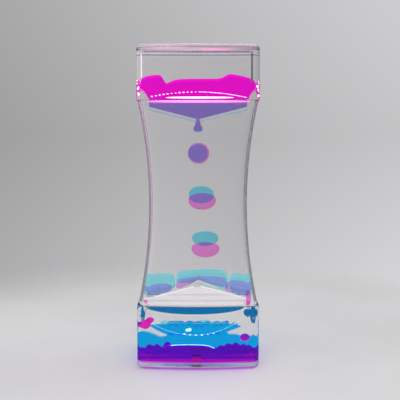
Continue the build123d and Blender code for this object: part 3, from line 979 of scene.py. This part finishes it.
PINK_BUMPS = bumps([(-20.6, 1.7, 0.9), (-17.2, 1.8, 1.1), (-13.6, 2.1, 1.15), (9.6, 1.9, 0.8),
                    (12.9, 2.0, 1.0), (16.2, 2.1, 1.05), (19.4, 1.8, 0.9)])
BLUE_BUMPS = bumps([(-11.5, 2.0, 0.7), (-7.6, 2.1, 0.7), (-3.6, 2.2, 0.65), (0.4, 2.1, 0.6), (4.3, 2.1, 0.7),
                    (8.0, 2.0, 0.75), (11.4, 1.7, 0.7)])
PINK_LOWER_TOP = curve([(-24, 6.4), (-20, 6.2), (-17, 6.0), (-15.6, 4.9), (-13.6, 6.6), (-11, 7.3), (-4, 7.5),
                        (1, 7.4), (5.0, 7.0), (7.6, 5.4), (10, 6.0), (14, 6.4), (20, 6.2), (24, 6.4)])
BLUE_LOWER_TOP = curve([(-25, 13.3), (-21, 12.6), (-18.4, 11.6), (-15.9, 10.2), (-13.2, 11.2), (-7, 10.9),
                        (0.6, 10.8), (8.2, 11.2), (13.5, 11.8), (16.2, 11.8), (18.5, 11.0), (21, 10.5),
                        (23.4, 11.0), (25, 12.8)])
POOL_FLOOR, BLUE_POOL_FALL = 2.6, 0.16
# The blue pool climbs the rear wall between these lines.
SWELL_LOW = curve([(-20.7, 13.3), (-17.1, 11.1), (-13.5, 9.5), (-8, 8.6), (0, 8.4), (8.5, 9.2), (12.5, 10.7),
                   (18.4, 13.0)], 0)
SWELL_TOP = curve([(-20.7, 13.5), (-19.5, 14.0), (-12, 14.2), (-6, 14.2), (0, 14.4), (6, 13.9), (11, 14.3),
                   (15, 14.2), (18.4, 13.2)])
SWELL_NEAR, SWELL_FAR, SWELL_LEAST = 11.6, 13.4, 0.1
# Distance from the middle plane at which the swell meets the pool's falling top
SWELL_FOOT = 11.5
FOOT_FLOOR, FOOT_TOP, FOOT_NEAR = 2.62, 4.3, 14.6


class TIMER_OT_lower_pools(bpy.types.Operator):
    """Build the pools in the lower cup"""

    bl_idname = "timer.lower_pools"
    bl_label = "Lower pools"

    def execute(self, context):
        for tone, top, key, fall in (
            ("pink", lambda x: PINK_LOWER_TOP(x) + PINK_BUMPS(x), "pink_deep_liquid", 0.0),
            ("blue", lambda x: BLUE_LOWER_TOP(x) + BLUE_BUMPS(x), "blue_pool_liquid", BLUE_POOL_FALL),
        ):
            pool = slab_stations(
                -24.6, 24.6, lambda x: POOL_FLOOR, top, SIDES[tone], near=0.72, far_margin=0.15, count=220,
                end_round=0.5,
            )
            finish_piece(slab_liquid(f"{tone}_lower_pool_body", pool, key, 0.6, fall), f"{tone}_lower_pool")
        swell = []
        for x in np.linspace(-20.7, 18.4, 150):
            low = max(SWELL_LOW(x), BLUE_LOWER_TOP(x) - BLUE_POOL_FALL * SWELL_FOOT)
            high = SWELL_TOP(x) + BLUE_BUMPS(x)
            swell.append((x, SWELL_NEAR, SWELL_FAR, low, max(high, low + SWELL_LEAST)))
        finish_piece(slab_liquid("blue_pool_swell", swell, "blue_pool_liquid", 0.4))
        # A glowing slab at the front foot of the lower pink pool paints the light that comes up through the
        # base.
        foot = slab_stations(
            -24.2, 24.2, lambda x: FOOT_FLOOR, lambda x: FOOT_TOP, FRONT, near=FOOT_NEAR, far_margin=0.25,
            count=80, end_round=0.6,
        )
        finish_piece(slab_liquid("pink_pool_foot", foot, "pink_foot_liquid", 0.3))
        return {"FINISHED"}


# Blobs: name, centre, half sizes, tilt, finish and the CAD node that it stands for
BLOBS = [
    ("pink_left_bead_drop", (-22.2, -10.7, 18.4), (2.35, 2.0, 1.95), 0.45, "pink_bead_liquid",
     "pink_left_bead"),
    ("pink_left_bead_crown", (-20.4, -10.2, 20.1), (1.7, 1.4, 1.25), 0.2, "pink_bead_liquid"),
    ("pink_right_trail", (21.2, -11.5, 30.0), (0.95, 1.2, 3.4), 0.1, "pink_drop_liquid"),
    ("pink_right_trail_foot", (20.6, -11.5, 27.8), (1.6, 1.2, 0.9), 0.0, "pink_drop_liquid"),
    ("blue_left_bubble", (-14.2, 11.0, 15.2), (1.9, 1.2, 0.95), 0.0, "blue_puddle_liquid"),
    ("blue_flat_bubble", (2.9, 11.0, 16.0), (2.2, 1.0, 0.5), 0.0, "blue_puddle_liquid"),
    ("blue_right_bubble", (21.3, 10.0, 19.9), (1.7, 1.5, 1.7), 0.3, "blue_film_liquid"),
    ("pink_left_spot", (-21.7, -11.5, 28.5), (1.0, 1.0, 1.0), 0.0, "pink_drop_liquid"),
    ("pink_right_bead_drop", (19.9, -10.5, 12.65), (2.1, 2.1, 1.65), 0.0, "pink_bead_liquid",
     "pink_right_bead"),
    ("blue_left_stream_trail", (-23.95, 7.8, 19.6), (1.0, 4.0, 4.0), 0.0, "blue_film_liquid",
     "blue_left_stream"),
    ("blue_right_stream_trail", (23.6, 7.8, 19.6), (1.2, 4.0, 4.2), 0.0, "blue_film_liquid",
     "blue_right_stream"),
]
FILM_LEFT, FILM_RIGHT, FILM_TOP = -22.2, 19.7, 23.9
FILM_NEAR, FILM_FAR = 0.65, 1.45
FILM_END, FILM_SAG, FILM_POWER = 0.1, 3.1, 1.2


class TIMER_OT_loose_liquid(bpy.types.Operator):
    """Build the beads, the streams and the film in the lower cup"""

    bl_idname = "timer.loose_liquid"
    bl_label = "Beads, streams and film"

    def execute(self, context):
        for name, place, half, tilt, key, *nodes in BLOBS:
            finish_piece(blob(name, place, half, tilt, key), *nodes)
        middle, half = (FILM_LEFT + FILM_RIGHT) / 2, (FILM_RIGHT - FILM_LEFT) / 2
        film = []
        for x in np.linspace(FILM_LEFT, FILM_RIGHT, 70):
            sag = FILM_SAG * math.sqrt(max(0.0, 1 - ((x - middle) / half) ** 2)) ** FILM_POWER
            film.append((x, FILM_NEAR, FILM_FAR, FILM_TOP - FILM_END - sag, FILM_TOP))
        finish_piece(slab_liquid("blue_film_sheet", film, "blue_film_liquid", 0.12), "blue_divider_film")
        return {"FINISHED"}


# Small beads, painted highlights and painted edge lines


def grown(name, path, group, values):
    """A piece that a node group grows along a path of points in millimetres."""
    mesh = bpy.data.meshes.new(f"{name}_path")
    points = [(x * MM, y * MM, z * MM) for x, y, z in path]
    mesh.from_pydata(points, [(i, i + 1) for i in range(len(points) - 1)], [])
    carrier = linked(f"{name}_path", mesh)
    modifier = carrier.modifiers.new("growth", "NODES")
    modifier.node_group = node_group(group)
    for item in modifier.node_group.interface.items_tree:
        if item.in_out == "INPUT" and item.name in values:
            modifier[item.identifier] = values[item.name]
    bpy.context.view_layer.update()
    graph = bpy.context.evaluated_depsgraph_get()
    made = bpy.data.meshes.new_from_object(carrier.evaluated_get(graph), depsgraph=graph)
    carrier.modifiers.remove(modifier)
    bpy.data.objects.remove(carrier)
    made.name = name
    finish_piece(linked(name, made))


def bead_row(name, path, count, radius, key, change=0.3, stretch=1.0, scatter=0.0, seed=1):
    """Row of small beads along a path of points in millimetres."""
    grown(name, path, "bead_row", {
        "Count": count, "Radius": radius * MM, "Radius Change": change, "Length Share": stretch,
        "Scatter": scatter * MM, "Seed": seed, "Finish": material(key),
    })


def edge_line(name, path, radius, key):
    """Painted line that stands in for what an edge of the clear mouldings shows, along a path of points in
    millimetres.
    """
    grown(name, path, "edge_line", {"Radius": radius * MM, "Finish": material(key)})


def bend(start, low, end, clearance, steps=24):
    """Points of a bent line on the inner front face through its start, its middle height and its end."""
    control = 2 * low - (start[1] + end[1]) / 2
    points = []
    for i in range(steps + 1):
        t = i / steps
        x = start[0] + (end[0] - start[0]) * t
        z = (1 - t) ** 2 * start[1] + 2 * t * (1 - t) * control + t**2 * end[1]
        points.append((x, clearance - front_limit(x, z), z))
    return points


STRIP_CORNER, STRIP_LEAST, STRIP_STEPS = 0.1, 0.02, 60


def strip(name, x_low, x_high, low_line, high_line, near, far, key):
    """Thin upright strip between two lines."""
    stations = []
    for x in np.linspace(x_low, x_high, STRIP_STEPS):
        low, high = low_line(x), high_line(x)
        stations.append((x, near, far, low, max(high, low + STRIP_LEAST)))
    finish_piece(slab_liquid(name, stations, key, STRIP_CORNER))


def lens_strip(name, x_low, x_high, level, middle, half, height, near, far, key):
    """Strip in the form of a slim lens."""
    def rise(x):
        return height * math.sqrt(max(0.0, 1 - ((x - middle) / half) ** 2))

    strip(name, x_low, x_high, lambda x: level - rise(x), lambda x: level + rise(x), near, far, key)


# Painted lines in the upper cup's front wall under its top edge, that stand in for the colours and the
# highlight refracted there: name, left end, right end, height, radius and finish
TOP_LINES = [
    ("top_upper_line", -23.0, 22.6, 136.0, 0.2, "mauve_edge_line"),
    ("top_lower_line", -22.6, 22.6, 134.2, 0.26, "mauve_edge_line"),
    ("top_bright_line", 1.2, 12.9, 134.9, 0.32, "rose_edge_line"),
]
TOP_LINE_CLEARANCE = 0.4
# Painted lines in the tube's walls, that stand in for the dark surroundings and the colours refracted at its
# edges: name, side, distance from the outside, radius and finish
TUBE_LINES = [
    ("tube_left_outer_line", -1, 0.35, 0.12, "grey_edge_line"),
    ("tube_left_band", -1, 1.2, 0.6, "lavender_edge_line"),
    ("tube_left_inner_line", -1, 2.15, 0.16, "grey_edge_line"),
    ("tube_right_outer_line", 1, 0.75, 0.34, "dark_edge_line"),
    ("tube_right_inner_line", 1, 2.15, 0.12, "grey_edge_line"),
]
TUBE_LINE_PLACE, TUBE_LINE_END = -11.0, 1.0
BASE_LINE_END, BASE_LINE_CLEARANCE, BASE_LINE_HEIGHT = 23.6, -0.6, 0.7
# Painted highlights where the walls of the roof are seen on edge: name, left end and right end
ROOF_EDGES = [("roof_left_edge", -22.5, -1.6), ("roof_right_edge", 1.0, 20.4)]
# Rows of bubbles on the lower pink pool: side, left end, right end, count and seed
PINK_BUBBLES = [("left", -21.0, -13.6, 5, 9), ("right", 8.0, 21.5, 8, 10)]


class TIMER_OT_bright_lines(bpy.types.Operator):
    """Build the painted highlights, the painted edge lines and glows, and the small bubbles"""

    bl_idname = "timer.bright_lines"
    bl_label = "Beads and bright lines"

    def execute(self, context):
        # Painted highlight line and dots over the upper joint, and the painted lilac glow line under it
        lens_strip("upper_weld_line", -13.4, 14.8, 114.95, 0.7, 14.3, 0.42, -17.1, -16.9, "bright_joint_line")
        lens_strip("upper_lilac_line", -21.2, 21.6, 113.4, 0.2, 21.6, 0.5, -16.6, -16.4, "lilac_joint_line")
        path = bend((-19.2, 115.5), 116.8, (-1.0, 117.3), 0.2)
        bead_row("upper_weld_dots", path, 12, 0.2, "bright_joint_line", stretch=1.9, seed=3)
        path = bend((0.4, 117.3), 116.7, (20.1, 115.1), 0.2)
        bead_row("upper_weld_bead", path, 80, 0.13, "bright_joint_line", seed=4)
        # Painted dark and pale lines that follow the waist of the tube
        levels = np.linspace(UPPER_JOINT - TUBE_LINE_END, LOWER_JOINT + TUBE_LINE_END, 48)
        for name, side, inset, radius, key in TUBE_LINES:
            path = [(side * (tube_half_width(z * MM) / MM - inset), TUBE_LINE_PLACE, z) for z in levels]
            edge_line(name, path, radius, key)
        # Painted lines under the top edge, a painted dark line and a painted highlight at the cup's corners,
        # and painted glints at its corners above the joint
        for name, left, right, height, radius, key in TOP_LINES:
            places = np.linspace(left, right, 40)
            path = [(x, TOP_LINE_CLEARANCE - front_limit(x, height), height) for x in places]
            edge_line(name, path, radius, key)
        edge_line("upper_cup_dark_line", [(22.5, -15.0, 121.4), (22.5, -15.0, 133.6)], 0.36, "dark_edge_line")
        path = [(-23.6, -14.6, 123.4), (-23.6, -14.6, 133.4)]
        edge_line("upper_cup_pale_line", path, 0.24, "pale_moulded_edge")
        for name, side, seed in (("left", -1, 12), ("right", 1, 13)):
            path = [(side * 25.1, -15.25, z) for z in (116.2, 119.0, 122.0)]
            bead_row(
                f"upper_cup_{name}_glints", path, 6, 0.42, "bright_joint_line", 0.5, scatter=0.35, seed=seed
            )
        # The roof's walls seen on edge as painted highlights, a faintly glowing sheet that paints light onto
        # its face, and the painted purple line of the base
        for name, left, right in ROOF_EDGES:
            strip(name, left, right, lambda x: roof(x) - 0.6, lambda x: roof(x) - 0.2, -13.4, -13.2,
                  "pale_moulded_edge")
        # A faintly glowing sheet in front of the roof paints light onto it.
        strip("roof_face", -21.5, 20.4, lambda x: 27.3, lambda x: max(roof(x) - 0.65, 27.5), -13.15, -13.0,
              "pale_roof_face")
        # The base's purple line is painted colour that stands in for the liquids refracted in its bottom
        # edge.
        path = [
            (x, BASE_LINE_CLEARANCE - front_limit(x, 0.0), BASE_LINE_HEIGHT)
            for x in np.linspace(-BASE_LINE_END, BASE_LINE_END, 60)
        ]
        edge_line("base_purple_line", path, 0.42, "purple_edge_line")
        # Painted highlight line and dashes along the contact line of the roof plate's rim
        path = bend((-19.6, 19.6), 14.9, (17.6, 20.6), 0.5)
        bead_row("lower_weld_line", path, 120, 0.095, "pale_foam", seed=5)
        path = bend((-5.8, 15.4), 14.9, (6.6, 15.6), 0.5)
        bead_row("lower_weld_dots", path, 6, 0.26, "pale_foam", stretch=1.9, seed=6)
        # Painted highlight along the top of the deep pink pool, bubbles that float on the pools, and a
        # painted glint
        path = [(x, -1.1, PINK_LOWER_TOP(x) + 0.1) for x in np.linspace(-15.2, 7.4, 40)]
        bead_row("pink_pool_line", path, 110, 0.16, "pale_foam", seed=7)
        path = [(x, 11.0, SWELL_TOP(x) + 0.35) for x in np.linspace(-15.0, 15.5, 30)]
        bead_row("blue_pool_bubbles", path, 12, 1.05, "blue_bubble_skin", 0.35, scatter=0.5, seed=8)
        for name, left, right, count, seed in PINK_BUBBLES:
            path = [(x, -3.4, PINK_LOWER_TOP(x) + 0.3) for x in np.linspace(left, right, 12)]
            bead_row(
                f"pink_pool_{name}_bubbles", path, count, 1.35, "violet_bubble_skin", scatter=0.45, seed=seed
            )
        path = [(-4.7, -14.0, 16.6), (-3.4, -14.0, 16.8)]
        bead_row("glint_bubble", path, 3, 0.6, "pale_foam", 0.4, scatter=0.25, seed=11)
        return {"FINISHED"}


# Stage

WORLD_LIGHT, ROOM_LEVEL = 0.5, 0.35
WALL_LEFT, WALL_RIGHT = 0.74, 1.22
# Dark screens beside the object: middle, half width in degrees, and level
SCREENS = [(-66, 10, 0.25), (64, 9, 0.12)]
SCREEN_SOFTNESS = 0.012


def world_light():
    """Pale surroundings seen by eye, plain light on the object."""
    world = bpy.data.worlds.new("studio")
    bpy.context.scene.world = world
    world.use_nodes = True
    tree = world.node_tree
    tree.nodes.clear()
    wall = tuple(colours().wall)
    place = node(tree, "ShaderNodeTexCoord").outputs["Generated"]
    look = node(tree, "ShaderNodeSeparateXYZ", {0: place}).outputs
    # A soft dark screen on the left and a slimmer one on the right give the clear edges their lines.
    angle = node(tree, "ShaderNodeMath", {0: look["X"], 1: look["Y"]}, operation="ARCTAN2").outputs[0]
    stops = [(0.0, 1.0)]
    for centre_degrees, half_degrees, level in SCREENS:
        centre, half = (centre_degrees + 180) / 360, half_degrees / 360
        stops += [(centre - half - SCREEN_SOFTNESS, 1.0), (centre - half, level)]
        stops += [(centre + half, level), (centre + half + SCREEN_SOFTNESS, 1.0)]
    stops = [(stop, (level,) * 3) for stop, level in [*stops, (1.0, 1.0)]]
    screens = ramp(tree, map_range(tree, angle, -math.pi, math.pi), stops, "EASE")
    # Painted light and shade on the wall: lighter towards the floor and the top, darker on the left and
    # lighter on the right.
    height = map_range(tree, look["Z"], -0.35, 0.55)
    tone = ramp(tree, height, [(0.0, scaled(wall, 1.35)), (0.42, wall), (1.0, scaled(wall, 1.3))])
    across = map_range(tree, look["X"], -0.34, 0.34, WALL_LEFT, WALL_RIGHT)
    path = node(tree, "ShaderNodeLightPath").outputs
    screened = blend(tree, path["Is Camera Ray"], screens, WHITE)
    room = blend(tree, 1.0, blend(tree, 1.0, tone, across, "MULTIPLY"), screened, "MULTIPLY")
    dimmed = blend(tree, path["Is Reflection Ray"], room, (*scaled(wall, ROOM_LEVEL), 1))
    seen = node(tree, "ShaderNodeBackground", {"Strength": 1.0, "Color": dimmed})
    light = node(tree, "ShaderNodeBackground", {"Strength": WORLD_LIGHT, "Color": WHITE})
    by_eye = larger(tree, path["Is Camera Ray"], path["Is Glossy Ray"])
    by_eye = larger(tree, by_eye, path["Is Transmission Ray"])
    mix = node(tree, "ShaderNodeMixShader", {"Fac": by_eye, 1: light.outputs[0], 2: seen.outputs[0]})
    node(tree, "ShaderNodeOutputWorld", {"Surface": mix.outputs[0]})


FLOOR_RADIUS, FADE_START, FADE_END = 1.2, 0.12, 0.26


def floor_piece():
    """Round pale floor that fades into the surroundings."""
    bpy.ops.mesh.primitive_circle_add(vertices=96, radius=FLOOR_RADIUS, fill_type="NGON", location=(0, 0, 0))
    floor = bpy.context.object
    floor.name = "floor"
    made = bpy.data.materials.new("pale_floor")
    made.use_nodes = True
    tree = made.node_tree
    tint = colours().floor
    place = node(tree, "ShaderNodeTexCoord").outputs["Object"]
    noise = node(tree, "ShaderNodeTexNoise", {"Scale": 9.0, "Detail": 6.0, "Vector": place})
    pale = tuple(min(1, c) for c in scaled(tint, 1.02))
    tone = ramp(tree, noise.outputs["Fac"], [(0.35, scaled(tint, 0.93)), (0.6, pale)])
    shader = tree.nodes["Principled BSDF"]
    feed(tree, shader, {"Roughness": 0.45, "Specular IOR Level": 0.25, "Base Color": tone})
    reach = node(tree, "ShaderNodeVectorMath", {0: place}, operation="LENGTH").outputs["Value"]
    fade = map_range(tree, reach, FADE_START, FADE_END, kind="SMOOTHSTEP")
    path = node(tree, "ShaderNodeLightPath")
    clear = node(tree, "ShaderNodeBsdfTransparent")
    hidden = larger(tree, fade, path.outputs["Is Reflection Ray"])
    mix = node(tree, "ShaderNodeMixShader", {"Fac": hidden, 1: shader.outputs[0], 2: clear.outputs[0]})
    feed(tree, tree.nodes["Material Output"], {"Surface": mix.outputs[0]})
    floor.data.materials.append(made)


# Lamps: name, place, size and power
LAMPS = [("front_lamp", (-0.35, -0.55, 0.5), 0.5, 1.5), ("top_lamp", (0.1, 0.05, 0.7), 0.45, 1.6)]
LAMP_TARGET = (0, 0, 0.07)


def lamp(name, place, size, power):
    """Soft square lamp that faces the timer."""
    data = bpy.data.lights.new(name, "AREA")
    data.shape = "SQUARE"
    data.size = size
    data.energy = power
    piece = linked(name, data)
    piece.location = place
    piece.rotation_mode = "QUATERNION"
    piece.rotation_quaternion = (Vector(LAMP_TARGET) - Vector(place)).to_track_quat("-Z", "Y")


SENSOR_WIDTH = 36.0
# Distance from the lens to the picture, in widths of the picture
FOCAL_SHARE = 624 / 400
CAMERA_PLACE, CAMERA_TILT = (0.0, -0.278, 0.0915), 2.39


class TIMER_OT_stage(bpy.types.Operator):
    """Set the floor, the light and the camera"""

    bl_idname = "timer.stage"
    bl_label = "Floor, light and camera"

    def execute(self, context):
        scene = context.scene
        world_light()
        floor_piece()
        for row in LAMPS:
            lamp(*row)
        data = bpy.data.cameras.new("camera")
        data.sensor_width = SENSOR_WIDTH
        data.lens = FOCAL_SHARE * SENSOR_WIDTH
        data.shift_x = 0.005
        data.shift_y = -0.05
        camera = linked("camera", data)
        camera.location = CAMERA_PLACE
        camera.rotation_euler = (math.radians(90 - CAMERA_TILT), 0, 0)
        scene.camera = camera
        scene.view_settings.view_transform = "Standard"
        scene.cycles.max_bounces = 40
        scene.cycles.transmission_bounces = 40
        scene.cycles.glossy_bounces = 8
        scene.cycles.diffuse_bounces = 4
        scene.cycles.transparent_max_bounces = 64
        return {"FINISHED"}


class TIMER_PT_panel(bpy.types.Panel):
    """Lists the timer's steps, sizes and colours"""

    bl_label = "Liquid Motion Timer"
    bl_idname = "TIMER_PT_panel"
    bl_space_type = "VIEW_3D"
    bl_region_type = "UI"
    bl_category = "Timer"

    def draw(self, context):
        for operator in STEPS:
            self.layout.operator(operator.bl_idname)
        for group in (context.scene.timer_sizes, context.scene.timer_colours):
            box = self.layout.box()
            for key in group.__annotations__:
                box.prop(group, key)


STEPS = (
    TIMER_OT_clear_mouldings,
    TIMER_OT_inner_plates,
    TIMER_OT_clear_liquids,
    TIMER_OT_upper_pools,
    TIMER_OT_drops,
    TIMER_OT_puddles,
    TIMER_OT_lower_pools,
    TIMER_OT_loose_liquid,
    TIMER_OT_bright_lines,
    TIMER_OT_stage,
)
CLASSES = (TimerSizes, LiquidColours, *STEPS, TIMER_PT_panel)


def register():
    for item in CLASSES:
        bpy.utils.register_class(item)
    bpy.types.Scene.timer_sizes = bpy.props.PointerProperty(type=TimerSizes)
    bpy.types.Scene.timer_colours = bpy.props.PointerProperty(type=LiquidColours)


def unregister():
    del bpy.types.Scene.timer_colours
    del bpy.types.Scene.timer_sizes
    for item in reversed(CLASSES):
        bpy.utils.unregister_class(item)


def main():
    """Registers the add-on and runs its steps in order."""
    register()
    for operator in STEPS:
        module, name = operator.bl_idname.split(".")
        getattr(getattr(bpy.ops, module), name)()


if __name__ == "__main__":
    main()
